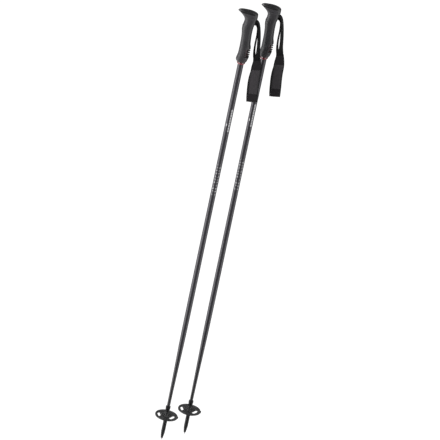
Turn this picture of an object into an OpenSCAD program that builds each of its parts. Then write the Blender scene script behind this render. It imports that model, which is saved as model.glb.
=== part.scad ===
// Pair of one-piece climbing poles: tapered shaft, shaped grip with a thumb beak,
// wrist strap, ferrule with a steel spike, and a pull-off basket.
// +Z runs up the shafts. The origin is the end of the left pole's spike.
// -X is the front of the grips (beak), +X the back (strap).

/* [Pair] */
// Length of each pole, from the spike's end to the crown of the grip
pole_length = 1200; // [1100:50:1300]
// Sideways distance from the left pole to the right pole
pair_dx = 52; // [40:1:300]
// Fore-and-aft distance from the left pole to the right pole
pair_dy = 54; // [50:1:300]

/* [Shaft] */
// Radius of the shaft inside the grip
shaft_top_r = 7.45; // [7.2:0.05:7.6]
// Radius of the shaft in its parallel middle
shaft_mid_r = 6.95; // [6.5:0.05:7.1]
// Wall of the shaft tube
shaft_wall = 1.1; // [0.8:0.1:1.6]

/* [Grip] */
// Height of the grip, from the lower edge of its red collar to the crown
grip_height = 148; // [148:1:150]
// Half-width of the grip, side to side, at the hand
grip_half_width = 12.5; // [11.8:0.1:13.5]
// Height of the joint between the grip and its cap, above the collar's lower edge
cap_joint = 139.5; // [138.5:0.5:140]
// Height of the red collar, up to the rubber's lower edge
collar_height = 9; // [7:0.5:9]

/* [Strap] */
// Width of the strap webbing
webbing_w = 18; // [15:1:19]
// Thickness of the strap webbing
webbing_t = 1.8; // [1.2:0.1:2]
// Thickness of the padded hand band
pad_t = 2.6; // [2:0.1:3]

/* [Tip] */
// Radius of the ferrule below the basket, where a tip protector fits
tip_sleeve_r = 4.8; // [4.6:0.05:4.85]
// Radius of the ferrule under the basket's hub
basket_seat_r = 4.92; // [4.88:0.01:5]
// Running clearance between the basket's bore and its seat
basket_clearance = 0.06; // [0.02:0.01:0.1]
// Radius of the basket's rim
basket_r = 28.2; // [25:0.5:32]

/* [Hidden] */
round_fn = 64;

// Heights up the pole
grip_z = pole_length - grip_height;
spike_tip_r = 1.3;
spike_r = 2.1;
spike_h = 8;
// Heights of the ferrule: its lower end, where the sleeve and the basket's seat start and end
ferrule_z = 5;
sleeve_z = 24;
seat_z = 63;
seat_top_z = 80;
collar_z = 86;
collar_top_z = 95;
shaft_z = 66;
shaft_top_z = grip_z + 96;

// Outer radius of the shaft up its length, [height, radius]
shaft_outline = [[shaft_z, 3.8], [110, 4.05], [165, 4.7], [220, 5.5], [274, 6.35],
                 [329, 6.7], [440, shaft_mid_r], [710, shaft_mid_r],
                 [grip_z - 25, shaft_top_r], [shaft_top_z, shaft_top_r]];

// Sections up the grip, above the collar's lower edge: [height, front x, back x, half-width]
w = grip_half_width;
grip_sections = [[collar_height, -12.6, 12, w - 0.2], [10.2, -13.5, 12.7, w + 0.4],
                 [13, -14.5, 13.7, w + 0.9], [16, -14.5, 14.5, w + 1.2], [21, -13.5, 15.2, w + 1.2],
                 [30, -12.1, 15.4, w + 0.7], [48, -11.8, 15.1, w + 0.3], [57, -11.9, 13.6, w],
                 [70, -12.3, 12.4, w], [84, -13.4, 11.7, w], [97, -15.4, 11.8, w + 0.1],
                 [105, -15.1, 12.4, w + 0.2], [113, -13.6, 14.2, w + 0.5],
                 [120, -13.1, 16, w + 0.8], [127, -15, 17.2, w + 1], [132, -18.9, 17.5, w + 1],
                 [136, -23.8, 17.5, w + 0.9], [cap_joint, -28.8, 17, w + 0.4]];
cap_sections = [[cap_joint, -28.8, 17, w + 0.4], [142, -32.4, 15.2, w - 1],
                [144, -31.7, 11.9, w - 3.2], [146, -29, 6.8, w - 6.2],
                [147.3, -25.6, 1.4, w - 8.6], [grip_height, -18, -5, 0.9]];
section_points = 28;
section_steps = 2;
grip_steps = 4;
section_power = 0.86;
beak_start = 13;
beak_span = 20;
beak_narrowing = 0.5;
// Between these heights the back of the grip narrows into teeth, from x to x, to this share
tooth_z = [22.5, 24.2, 44, 46];
tooth_x = [7, 12.5];
tooth_width = 0.3;

// Strap lock: a wedge in a slot at the back of the grip, above the collar's lower edge
slot_z = [110.4, 127];
slot_x = [-6, 24];
slot_half_w = 9.6;
wedge_gap = 0.3;
wedge_x = [-1, 13.5];
pin_r = 1.5;
pin_at = [8, 118.6];
core_r = 9.4;
core_head_x = [-9, 13];
core_head_half_w = 11.2;
core_head_r = 12;
core_head_z = [104, 130];
cap_plug_r = 5;
cap_plug_depth = 2.6;

// Back window with grip fins, above the collar's lower edge
fin_slots_z = [25.8, 31.4, 37, 42.6];
fin_slot_h = 3.4;
fin_slot_x = 1;
window_z = [19.5, 49];
window_r = 11.6;

// Strap, in line with the left pole: [x, y, height above the collar's lower edge, width, roll]
// A roll of 90 turns the webbing edge-on to the side, 0 turns its face to the side.
ww = webbing_w;
outer_strand = [[19.6, 0, 116.8, ww, 90], [20.9, 0, 110.6, ww, 90], [23.8, 0, 103.6, ww, 90],
                [26, -0.2, 93.6, ww, 88], [27.6, -0.5, 83, ww, 84], [28.9, -1, 73, ww, 79],
                [30.6, -1.6, 62, ww, 74], [32.3, -2.2, 52, ww, 69], [34.1, -2.8, 43, ww, 62],
                [36, -3.4, 33, ww, 53], [37.6, -4, 23, ww, 42], [38.4, -4.8, 12.5, ww + 2, 26],
                [39.2, -5.6, 1, ww + 5, 12], [39.8, -6.3, -10, ww + 7.5, 4]];
loop_pad = [[39.8, -6.3, -10, ww + 7.5, 4], [40.3, -6.4, -30, ww + 8, 0],
            [41.7, -6.4, -49, ww + 8, 0], [43.8, -6.4, -69, ww + 8, 0],
            [45, -6.1, -86, ww + 8, 0], [44.9, -4.2, -91.5, ww + 8, 0],
            [44.5, 0, -93.5, ww + 8, 0], [43.9, 4.2, -91.5, ww + 8, 0],
            [42.6, 6.1, -86, ww + 8, 0], [40.6, 6.4, -70, ww + 8, 0],
            [38.8, 6.4, -50, ww + 8, 0], [38.6, 6.4, -34, ww + 8, 0],
            [38.9, 6.3, -18, ww + 6.5, 8]];
inner_strand = [[38.9, 6.3, -18, ww + 6.5, 8], [37.4, 6, -8, ww + 3.5, 30],
                [34.2, 5, 2, ww + 1, 56], [31.2, 3.6, 13, ww, 76], [28.9, 2.4, 23.5, ww, 86],
                [27.4, 1.6, 33, ww, 88], [26, 1, 43, ww, 88], [24.9, 0.6, 54, ww, 87],
                [24.4, 0.3, 66, ww, 87], [24, 0.2, 80, ww, 88], [23.1, 0, 91, ww, 90],
                [21.2, 0, 100, ww, 90], [19.3, 0, 107, ww, 90], [17.2, 0, 115, ww, 90]];
// Rise of the band's back edge over its front edge at the fold, as a slope
fold_tilt = 0.135;
fold_h = -93.5;
strap_steps = 2;
strap_root = [18.6, 117];
strap_root_r = 3.4;

// Basket, in its own plane, front of the grip at -X
basket_z = 68;
basket_rim_h = 3.4;
basket_rim_w = 2.6;
basket_web_t = 1.8;
hub_r = [12.5, 6.6];
hub_z = [66.2, 79.8];
left_window = [[-19.2, 12.6], [-24.2, 2.2], [-19, -12.6], [-12.6, -6]];
right_window = [[20.9, 4.2], [20.6, -5.5], [13, -17.4], [7.6, -17], [6.8, -11.8], [17, 4.6]];
rib_count = 12;
rib_first_turn = 15;
rib_x = [6, 14.6];
rib_w = 1.2;
rib_z = [67, 72];
lug_x = 29.4;
lug_w = 9;
lug_overlap = 3;
notch_at = [27.4, 6.4];
notch_r = 2.2;
through = 40;

// Outline of the ferrule's nose and of its collar above the basket seat, [radius, height]
ferrule_nose = [[2.5, ferrule_z], [3.5, 12], [4.3, 18], [tip_sleeve_r, sleeve_z],
                [tip_sleeve_r, seat_z - 1]];
ferrule_collar = [[basket_seat_r, seat_z], [basket_seat_r, seat_top_z], [4.7, seat_top_z + 1.6],
                  [4.7, seat_top_z + 3.4], [5.4, collar_z - 1], [6, collar_top_z - 5],
                  [5.8, collar_top_z - 2], [4.9, collar_top_z]];
// Outline of the red collar, [radius, height]
collar_outline = [[8.9, 0], [9.7, 0.8], [10.5, 3], [12, collar_height]];

function spline(a, b, c, d, t) = 0.5 * (2 * b + (c - a) * t
    + (2 * a - 5 * b + 4 * c - d) * t * t + (3 * b - a - 3 * c + d) * t * t * t);
function smooth(s, steps) = [for (i = [0 : len(s) - 2]) for (k = [0 : steps - 1])
    spline(s[max(i - 1, 0)], s[i], s[i + 1], s[min(i + 2, len(s) - 1)], k / steps),
    s[len(s) - 1]];
function signed_power(v, p) = sign(v) * pow(abs(v), p);
function beak_taper(front) = beak_narrowing * max(0, min(1, (-front - beak_start) / beak_span));
function unit(v) = v / norm(v);
function share(v, from, to) = max(0, min(1, (v - from) / (to - from)));
function tooth(x, z) = 1 - (1 - tooth_width) * share(x, tooth_x[0], tooth_x[1])
    * share(z, tooth_z[0], tooth_z[1]) * (1 - share(z, tooth_z[2], tooth_z[3]));

// One grip section: a rounded oval that narrows towards the beak
function grip_ring(s) = [for (j = [0 : section_points - 1])
    let (a = 360 * j / section_points, c = signed_power(cos(a), section_power),
         x = (s[1] + s[2]) / 2 + (s[2] - s[1]) / 2 * c,
         k = (1 - beak_taper(s[1]) * (1 - c) / 2) * tooth(x, s[0]))
    [x, s[3] * signed_power(sin(a), section_power) * k, s[0]]];

// One section of flat webbing, square to its route, tilted more towards the fold
function tape_ring(s, i, t) =
    let (d = unit([for (k = [0 : 2]) s[min(i + 1, len(s) - 1)][k] - s[max(i - 1, 0)][k]]),
         r = [cos(s[i][4]), sin(s[i][4]), fold_tilt * share(s[i][2], 0, fold_h)], a = unit(r - d * (r * d)), b = cross(d, a),
         p = [s[i][0], s[i][1], s[i][2]])
    [for (q = [[1, 1], [-1, 1], [-1, -1], [1, -1]]) p + a * q[0] * s[i][3] / 2 + b * q[1] * t / 2];

module loft(rings) {
    n = len(rings[0]);
    top = (len(rings) - 1) * n;
    sides = [for (i = [0 : len(rings) - 2]) for (j = [0 : n - 1])
        let (a = i * n + j, b = i * n + (j + 1) % n) each [[a, a + n, b + n], [a, b + n, b]]];
    polyhedron([for (r = rings) each r],
        concat([[for (j = [0 : n - 1]) j]], [[for (j = [n - 1 : -1 : 0]) top + j]], sides));
}

module tape(route, t) {
    s = smooth(route, strap_steps);
    loft([for (i = [0 : len(s) - 1]) tape_ring(s, i, t)]);
}

module turned(outline) {
    rotate_extrude($fn = round_fn) polygon(outline);
}

module at_right() {
    translate([pair_dx, pair_dy, 0]) children();
}

module slab(x, half_w, z) {
    translate([x[0], -half_w, z[0]]) cube([x[1] - x[0], 2 * half_w, z[1] - z[0]]);
}

module shaft() {
    inner = [for (p = shaft_outline) [p[1] - shaft_wall, p[0]]];
    color("dimgray") turned(concat([for (p = shaft_outline) [p[1], p[0]]],
        [for (i = [len(inner) - 1 : -1 : 0]) inner[i]]));
}

// Red hard-plastic core: collar, sleeve on the shaft, window behind the fins, head
module core_outside() {
    turned(concat([[0, 0]], collar_outline, [[core_r, collar_height],
        [core_r, core_head_z[0] + 1], [0, core_head_z[0] + 1]]));
    intersection() {
        cylinder(r = window_r, h = grip_height, $fn = round_fn);
        slab([fin_slot_x - 3, window_r + 1], window_r + 1, window_z);
    }
    intersection() {
        slab(core_head_x, core_head_half_w, core_head_z);
        translate([1, 0, 0]) cylinder(r = core_head_r, h = grip_height, $fn = round_fn);
    }
}

module strap_slot() {
    slab(slot_x, slot_half_w, slot_z);
}

module grip_core() {
    color("crimson") translate([0, 0, grip_z]) difference() {
        core_outside();
        translate([0, 0, -1])
            cylinder(r = shaft_top_r, h = shaft_top_z - grip_z + 1, $fn = round_fn);
        strap_slot();
        translate([0, 0, core_head_z[1] - cap_plug_depth])
            cylinder(r = cap_plug_r, h = cap_plug_depth + 1, $fn = round_fn);
    }
}

module grip_body() {
    color("#2b2a2d") translate([0, 0, grip_z]) difference() {
        loft([for (s = smooth(grip_sections, grip_steps)) grip_ring(s)]);
        core_outside();
        strap_slot();
        for (z = fin_slots_z)
            slab([fin_slot_x, 20], 20, [z - fin_slot_h / 2, z + fin_slot_h / 2]);
        translate([0, 0, core_head_z[1] - 1])
            cylinder(r = cap_plug_r, h = cap_joint - core_head_z[1] + 2, $fn = round_fn);
    }
}

module grip_cap() {
    color("#161618") translate([0, 0, grip_z]) {
        loft([for (s = smooth(cap_sections, section_steps)) grip_ring(s)]);
        translate([0, 0, core_head_z[1] - cap_plug_depth])
            cylinder(r = cap_plug_r, h = cap_joint - core_head_z[1] + cap_plug_depth + 1,
                $fn = round_fn);
    }
}

module strap_wedge() {
    color("#303034") translate([0, 0, grip_z]) difference() {
        slab(wedge_x, slot_half_w - wedge_gap, [slot_z[0] + wedge_gap, slot_z[1] - wedge_gap]);
        translate([pin_at[0], 0, pin_at[1]]) rotate([90, 0, 0])
            cylinder(r = pin_r, h = 2 * slot_half_w + 2, center = true, $fn = round_fn);
    }
}

module strap_pin() {
    color("silver") translate([pin_at[0], 0, grip_z + pin_at[1]]) rotate([90, 0, 0])
        cylinder(r = pin_r, h = 2 * (slot_half_w - wedge_gap), center = true, $fn = round_fn);
}

module strap_webbing() {
    color("#101012") translate([0, 0, grip_z]) {
        tape(outer_strand, webbing_t);
        tape(inner_strand, webbing_t);
        translate([strap_root[0], 0, strap_root[1]]) rotate([90, 0, 0])
            cylinder(r = strap_root_r, h = webbing_w, center = true, $fn = round_fn);
    }
}

module strap_pad() {
    color("#242226") translate([0, 0, grip_z]) tape(loop_pad, pad_t);
}

module ferrule() {
    color("#1c1c20") difference() {
        turned(concat([[0, ferrule_z]], ferrule_nose, ferrule_collar, [[0, collar_top_z]]));
        turned([[0, shaft_z], [shaft_outline[0][1], shaft_z],
            [shaft_outline[1][1], shaft_outline[1][0]], [0, shaft_outline[1][0]]]);
        translate([0, 0, ferrule_z - 1]) cylinder(r = spike_r, h = spike_h + 1, $fn = round_fn);
    }
}

module spike() {
    color("silver") {
        cylinder(r1 = spike_tip_r, r2 = spike_r, h = ferrule_z, $fn = round_fn);
        translate([0, 0, ferrule_z]) cylinder(r = spike_r, h = spike_h, $fn = round_fn);
    }
}

module basket_window(corners) {
    translate([0, 0, basket_z - through / 2]) linear_extrude(through) polygon(corners);
}

module basket() {
    web = basket_web_t;
    rim_in = basket_r - basket_rim_w;
    color("#1a1a1e") difference() {
        union() {
            turned([[0, hub_z[0]], [hub_r[0] - 1.5, hub_z[0]], [rim_in, basket_z - web],
                [rim_in, basket_z - basket_rim_h / 2], [basket_r, basket_z - basket_rim_h / 2],
                [basket_r, basket_z + basket_rim_h / 2], [rim_in, basket_z + basket_rim_h / 2],
                [rim_in, basket_z], [hub_r[0], basket_z + 1.5],
                [hub_r[1], hub_z[1]], [0, hub_z[1]]]);
            for (i = [0 : rib_count - 1])
                rotate([0, 0, 360 * i / rib_count + rib_first_turn]) slab(rib_x, rib_w / 2, rib_z);
            slab([basket_r - lug_overlap, lug_x], lug_w / 2,
                [basket_z - basket_rim_h / 2, basket_z + basket_rim_h / 2]);
        }
        basket_window(left_window);
        basket_window(right_window);
        translate([notch_at[0], notch_at[1], basket_z])
            cylinder(r = notch_r, h = through, center = true, $fn = round_fn);
        translate([0, 0, basket_z])
            cylinder(r = basket_seat_r + basket_clearance, h = through, center = true,
                $fn = round_fn);
    }
}

shaft();  // left_shaft
grip_core();  // left_grip_core
grip_body();  // left_grip_body
grip_cap();  // left_grip_cap
strap_wedge();  // left_strap_wedge
strap_pin();  // left_strap_pin
strap_webbing();  // left_strap_webbing
strap_pad();  // left_strap_pad
ferrule();  // left_ferrule
spike();  // left_spike
basket();  // left_basket
at_right() shaft();  // right_shaft
at_right() grip_core();  // right_grip_core
at_right() grip_body();  // right_grip_body
at_right() grip_cap();  // right_grip_cap
at_right() strap_wedge();  // right_strap_wedge
at_right() strap_pin();  // right_strap_pin
at_right() strap_webbing();  // right_strap_webbing
at_right() strap_pad();  // right_strap_pad
at_right() ferrule();  // right_ferrule
at_right() spike();  // right_spike
at_right() basket();  // right_basket
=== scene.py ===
"""A pair of one-piece climbing poles: the looks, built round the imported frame.

Shapes are in millimetres until they become meshes. Each pole is built in its own axes, with the
end of its spike at the origin, and the right pole's pieces are twins of the left pole's.
"""
import math

import bmesh
import bpy
from mathutils import Matrix, Vector


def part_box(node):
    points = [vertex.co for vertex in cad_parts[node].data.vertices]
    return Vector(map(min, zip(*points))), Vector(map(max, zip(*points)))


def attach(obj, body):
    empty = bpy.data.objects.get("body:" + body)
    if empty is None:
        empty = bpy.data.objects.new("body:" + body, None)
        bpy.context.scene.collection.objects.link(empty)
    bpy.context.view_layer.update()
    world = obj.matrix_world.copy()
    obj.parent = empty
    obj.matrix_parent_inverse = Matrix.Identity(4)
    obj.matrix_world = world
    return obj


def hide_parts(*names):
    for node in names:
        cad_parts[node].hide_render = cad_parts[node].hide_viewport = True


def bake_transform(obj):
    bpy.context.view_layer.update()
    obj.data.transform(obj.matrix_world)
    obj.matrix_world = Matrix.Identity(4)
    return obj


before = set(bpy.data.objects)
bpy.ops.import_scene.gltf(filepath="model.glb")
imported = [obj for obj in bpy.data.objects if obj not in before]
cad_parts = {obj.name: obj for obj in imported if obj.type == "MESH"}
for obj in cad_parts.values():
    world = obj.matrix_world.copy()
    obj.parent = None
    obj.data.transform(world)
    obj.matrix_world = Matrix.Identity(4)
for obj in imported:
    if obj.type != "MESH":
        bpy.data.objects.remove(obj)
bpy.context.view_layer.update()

MM = 0.001
SIDES = ("left", "right")


def spike_foot(side):
    """Where a pole's own axes start: the middle of its spike's end."""
    low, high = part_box(f"{side}_spike")
    return Vector(((low.x + high.x) / 2, (low.y + high.y) / 2, low.z))


FOOT = {side: spike_foot(side) for side in SIDES}
# Heights of the collar's lower edge and the cap's crown
GRIP_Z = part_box("left_grip_core")[0].z / MM
CROWN_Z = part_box("left_grip_cap")[1].z / MM
# Middle of the basket's disc
BASKET_Z = 68


# ---------------- shape helpers

def clamp(v, low=0.0, high=1.0):
    return max(low, min(high, v))


def step(a, b, v):
    """0 before a, 1 after b, and a smooth rise between them."""
    t = clamp((v - a) / (b - a))
    return t * t * (3 - 2 * t)


def bump(v, centre, half):
    """1 at centre, falling smoothly to 0 at half away from it."""
    return 1 - step(0, half, abs(v - centre))


def signed_power(v, p):
    return math.copysign(abs(v) ** p, v)


def curve_at(points, x):
    """Row of values at x on smooth curves through points, whose first value is x."""
    n = len(points)
    i = max(0, min(n - 2, sum(1 for p in points if p[0] <= x) - 1))

    def slope(k, c):
        a, b = points[max(k - 1, 0)], points[min(k + 1, n - 1)]
        return (b[c] - a[c]) / (b[0] - a[0])
    p, q = points[i], points[i + 1]
    h = q[0] - p[0]
    t = clamp((x - p[0]) / h)
    row = []
    for c in range(1, len(p)):
        m0, m1 = slope(i, c) * h, slope(i + 1, c) * h
        row.append((2 * t ** 3 - 3 * t * t + 1) * p[c] + (t ** 3 - 2 * t * t + t) * m0
                   + (3 * t * t - 2 * t ** 3) * q[c] + (t ** 3 - t * t) * m1)
    return row


def spline_rows(rows, per_span):
    """Rows on a Catmull-Rom spline through rows, per_span to each span."""
    out = []
    for i in range(len(rows) - 1):
        a, b = rows[max(i - 1, 0)], rows[i]
        c, d = rows[i + 1], rows[min(i + 2, len(rows) - 1)]
        for k in range(per_span):
            t = k / per_span
            out.append([0.5 * (2 * q + (r - p) * t + (2 * p - 5 * q + 4 * r - s) * t * t
                               + (3 * q - p - 3 * r + s) * t ** 3)
                        for p, q, r, s in zip(a, b, c, d)])
    return out + [list(rows[-1])]


def show(obj):
    """Adds an object to the scene."""
    bpy.context.scene.collection.objects.link(obj)


def new_object(name, points, faces, uvs=None):
    """A smooth-shaded mesh object from points in millimetres. uvs is one pair a point."""
    mesh = bpy.data.meshes.new(name)
    mesh.from_pydata([[c * MM for c in p] for p in points], [], faces)
    mesh.validate()
    if uvs is not None:
        layer = mesh.uv_layers.new(name="route")
        for loop in mesh.loops:
            layer.data[loop.index].uv = uvs[loop.vertex_index]
    mesh.polygons.foreach_set("use_smooth", [True] * len(mesh.polygons))
    obj = bpy.data.objects.new(name, mesh)
    show(obj)
    return obj


def tidy_normals(obj):
    made = bmesh.new()
    made.from_mesh(obj.data)
    bmesh.ops.remove_doubles(made, verts=made.verts, dist=1e-7)
    bmesh.ops.recalc_face_normals(made, faces=made.faces)
    made.to_mesh(obj.data)
    made.free()
    return obj


def loft(name, rings, uvs=None, sharp=None):
    """A closed skin over rings of points, with a cap at each end."""
    n = len(rings[0])
    faces = [(i * n + j, i * n + (j + 1) % n, (i + 1) * n + (j + 1) % n, (i + 1) * n + j)
             for i in range(len(rings) - 1) for j in range(n)]
    last = (len(rings) - 1) * n
    faces.append(tuple(range(n - 1, -1, -1)))
    faces.append(tuple(last + j for j in range(n)))
    obj = new_object(name, [p for ring in rings for p in ring], faces, uvs)
    tidy_normals(obj)
    if sharp:
        sharpen(obj, sharp)
    return obj


def sharpen(obj, degrees):
    """Edges sharper than this shade as edges."""
    made = bmesh.new()
    made.from_mesh(obj.data)
    for edge in made.edges:
        if len(edge.link_faces) == 2 and edge.calc_face_angle(0) > math.radians(degrees):
            edge.smooth = False
    made.to_mesh(obj.data)
    made.free()


def lathe(name, outline, sides=96, sharp=38):
    """A turned piece from (radius, height) pairs, from its lower end to its upper end."""
    rings = [[(r * math.cos(math.tau * j / sides), r * math.sin(math.tau * j / sides), z)
              for j in range(sides)] for r, z in outline]
    return loft(name, rings, sharp=sharp)


def rounded(points, radius, steps=4):
    """An outline with all its corners but the two ends rounded."""
    out = [points[0]]
    for a, b, c in zip(points, points[1:], points[2:]):
        pa, pb, pc = Vector(a), Vector(b), Vector(c)
        r = min(radius, (pa - pb).length * 0.45, (pc - pb).length * 0.45)
        start, end = pb + (pa - pb).normalized() * r, pb + (pc - pb).normalized() * r
        for k in range(steps + 1):
            t = k / steps
            out.append(tuple(start.lerp(pb, t).lerp(pb.lerp(end, t), t)))
    return out + [points[-1]]


def join(name, pieces):
    """One object from several, keeping the first one's settings."""
    bpy.ops.object.select_all(action="DESELECT")
    for piece in pieces:
        piece.select_set(True)
    bpy.context.view_layer.objects.active = pieces[0]
    bpy.ops.object.join()
    pieces[0].name = name
    pieces[0].data.name = name
    return pieces[0]


def apply_modifiers(obj):
    """Puts what an object's modifiers make in place of its mesh."""
    bpy.context.view_layer.update()
    made = bpy.data.meshes.new_from_object(obj.evaluated_get(bpy.context.evaluated_depsgraph_get()))
    obj.modifiers.clear()
    obj.data = made


# ---------------- material helpers

class Material:
    """A node material, with short calls for the nodes that these finishes share."""

    def __init__(self, name, **sockets):
        self.made = bpy.data.materials.new(name)
        self.made.use_nodes = True
        self.nodes, self.links = self.made.node_tree.nodes, self.made.node_tree.links
        self.shader = self.nodes["Principled BSDF"]
        for socket, value in sockets.items():
            self.shader.inputs[socket.replace("_", " ")].default_value = value
        self.place = self.nodes.new("ShaderNodeTexCoord").outputs["Object"]
        self.height = None

    def route(self):
        """Coordinates along a tape: across it, and along it, in metres."""
        node = self.nodes.new("ShaderNodeUVMap")
        node.uv_map = "route"
        return node.outputs[0]

    def feed(self, socket, value):
        if isinstance(value, (int, float, tuple)):
            socket.default_value = value
        else:
            self.links.new(value, socket)

    def noise(self, scale, detail=4, roughness=0.6, stretch=(1, 1, 1)):
        spread = self.nodes.new("ShaderNodeMapping")
        spread.inputs["Scale"].default_value = stretch
        self.links.new(self.place, spread.inputs[0])
        node = self.nodes.new("ShaderNodeTexNoise")
        node.inputs["Scale"].default_value = scale
        node.inputs["Detail"].default_value = detail
        node.inputs["Roughness"].default_value = roughness
        self.links.new(spread.outputs[0], node.inputs["Vector"])
        return node.outputs[0]

    def cells(self, scale):
        node = self.nodes.new("ShaderNodeTexVoronoi")
        node.inputs["Scale"].default_value = scale
        self.links.new(self.place, node.inputs["Vector"])
        return node.outputs["Distance"]

    def math(self, operation, a, b=0.0, c=0.0):
        node = self.nodes.new("ShaderNodeMath")
        node.operation = operation
        for socket, value in zip(node.inputs, (a, b, c)):
            self.feed(socket, value)
        return node.outputs[0]

    def times(self, a, b):
        return self.math("MULTIPLY", a, b)

    def split(self, vector):
        node = self.nodes.new("ShaderNodeSeparateXYZ")
        self.links.new(vector, node.inputs[0])
        return node.outputs

    def ramp(self, value, *stops):
        """A colour or grey for a value from 0 to 1. A stop is (position, colour or grey)."""
        node = self.nodes.new("ShaderNodeValToRGB")
        elements = node.color_ramp.elements
        while len(elements) < len(stops):
            elements.new(0.5)
        for element, (position, colour) in zip(elements, stops):
            element.position = position
            element.color = (*colour, 1) if isinstance(colour, tuple) else (*[colour] * 3, 1)
        self.feed(node.inputs[0], value)
        return node.outputs[0]

    def mix(self, share, a, b):
        node = self.nodes.new("ShaderNodeMix")
        node.data_type = "RGBA"
        self.feed(node.inputs["Factor"], share)
        for socket, value in ((node.inputs["A"], a), (node.inputs["B"], b)):
            self.feed(socket, (*value, 1) if isinstance(value, tuple) else value)
        return node.outputs["Result"]

    def within(self, value, low, high, soft=0.0):
        """1 where value is between low and high."""
        soft = max(soft, 1e-6)
        sides = []
        for start, end in ((low - soft, low + soft), (high + soft, high - soft)):
            node = self.nodes.new("ShaderNodeMapRange")
            node.interpolation_type = "SMOOTHSTEP"
            self.feed(node.inputs["Value"], value)
            node.inputs["From Min"].default_value = start
            node.inputs["From Max"].default_value = end
            sides.append(node.outputs[0])
        return self.times(*sides)

    def bump(self, height, strength, distance):
        """Adds relief. Calls stack."""
        node = self.nodes.new("ShaderNodeBump")
        node.inputs["Strength"].default_value = strength
        node.inputs["Distance"].default_value = distance
        self.feed(node.inputs["Height"], height)
        if self.height is not None:
            self.links.new(self.height, node.inputs["Normal"])
        self.height = node.outputs[0]
        self.links.new(self.height, self.shader.inputs["Normal"])

    def colour(self, value):
        self.feed(self.shader.inputs["Base Color"], value)

    def roughness(self, value):
        self.feed(self.shader.inputs["Roughness"], value)

    def worn(self):
        """1 on outer edges, where handling polishes and lightens a surface."""
        point = self.nodes.new("ShaderNodeNewGeometry").outputs["Pointiness"]
        return self.ramp(point, (0.5, 0.0), (0.58, 1.0))


def shaft_lacquer():
    """Satin graphite lacquer over drawn aluminium, with plain pale printed bars and dashes."""
    m = Material("shaft_lacquer", Metallic=0.55, Coat_Weight=0.35, Coat_Roughness=0.12)
    x, y, z = m.split(m.place)
    flake = m.noise(5200, detail=2)
    drawn = m.noise(240, detail=5, stretch=(1, 1, 0.02))
    base = m.mix(m.ramp(flake, (0.3, 0.0), (0.7, 1.0)), SHAFT_DARK, SHAFT_LIGHT)
    base = m.mix(m.times(drawn, 0.35), base, (0.03, 0.029, 0.034))
    # angle round the shaft, 0 on the side that faces -Y and growing towards +X
    turn = m.math("ARCTAN2", x, m.times(y, -1.0))
    beat = m.math("FRACT", m.math("DIVIDE", m.math("SUBTRACT", z, PRINT_BARS[0] * MM), BAR_PITCH * MM))
    bars = m.times(m.within(z, *[v * MM for v in PRINT_BARS], 0.0002), m.within(beat, 0.0, BAR_SHARE, 0.02))
    bars = m.times(bars, m.within(turn, *PRINT_BAR_TURN, 0.02))
    dot = m.times(m.within(z, *[v * MM for v in PRINT_DOT], 0.0003), m.within(turn, *PRINT_DOT_TURN, 0.03))
    # two columns of short dashes that thin out towards both ends
    row = m.math("FRACT", m.math("DIVIDE", z, DASH_PITCH * MM))
    speck = m.noise(170, detail=3, roughness=0.7, stretch=(1, 1, 1.6))
    fade = m.within(z, DASH_ZONE[0] * MM, DASH_ZONE[1] * MM, 0.008)
    columns = m.math("ADD", m.within(turn, *DASH_TURNS[0], 0.06), m.within(turn, *DASH_TURNS[1], 0.06))
    dashes = m.times(m.times(m.within(row, 0.12, 0.62, 0.05), columns),
                     m.times(fade, m.ramp(speck, (0.46, 0.0), (0.56, 1.0))))
    printed = m.math("MAXIMUM", m.math("MAXIMUM", bars, dot), m.times(dashes, 0.62))
    low = m.ramp(m.math("DIVIDE", z, 0.4), (0.3, 1.0), (0.95, 0.0))
    base = m.mix(m.times(low, 0.8), base, (0.010, 0.0095, 0.011))
    m.colour(m.mix(printed, base, PRINT_WHITE))
    m.feed(m.shader.inputs["Metallic"], m.times(m.math("SUBTRACT", 1.0, printed), 0.55))
    m.roughness(m.ramp(m.noise(900, detail=3, stretch=(1, 1, 0.05)), (0.2, 0.27), (0.8, 0.39)))
    m.bump(flake, 0.05, 0.00004)
    m.bump(drawn, 0.06, 0.0001)
    return m.made


def grip_rubber():
    """Soft matt rubber with a fine moulded grain, a little greyer on its edges."""
    m = Material("grip_rubber", Specular_IOR_Level=0.42, Sheen_Weight=0.04, Sheen_Roughness=0.5)
    grain = m.cells(1500)
    cloud = m.noise(60, detail=3)
    base = m.mix(m.ramp(cloud, (0.35, 0.0), (0.65, 1.0)), RUBBER_DARK, RUBBER_LIGHT)
    m.colour(m.mix(m.times(m.worn(), 0.35), base, (0.10, 0.098, 0.104)))
    m.roughness(m.ramp(cloud, (0.3, 0.40), (0.7, 0.50)))
    m.bump(grain, 0.16, 0.00012)
    m.bump(m.noise(420, detail=4), 0.10, 0.0002)
    return m.made


def moulded(name, dark, light, rough, grain=900, relief=0.10, **sockets):
    """Injection-moulded plastic: slight cloudiness, fine texture and lighter rubbed edges."""
    m = Material(name, **sockets)
    cloud = m.noise(90, detail=3)
    base = m.mix(m.ramp(cloud, (0.35, 0.0), (0.65, 1.0)), dark, light)
    rubbed = tuple(min(1, c * 1.9 + 0.015) for c in light)
    m.colour(m.mix(m.times(m.worn(), 0.3), base, rubbed))
    m.roughness(m.ramp(cloud, (0.3, rough - 0.05), (0.7, rough + 0.06)))
    m.bump(m.noise(grain, detail=4), relief, 0.00012)
    return m.made


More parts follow.
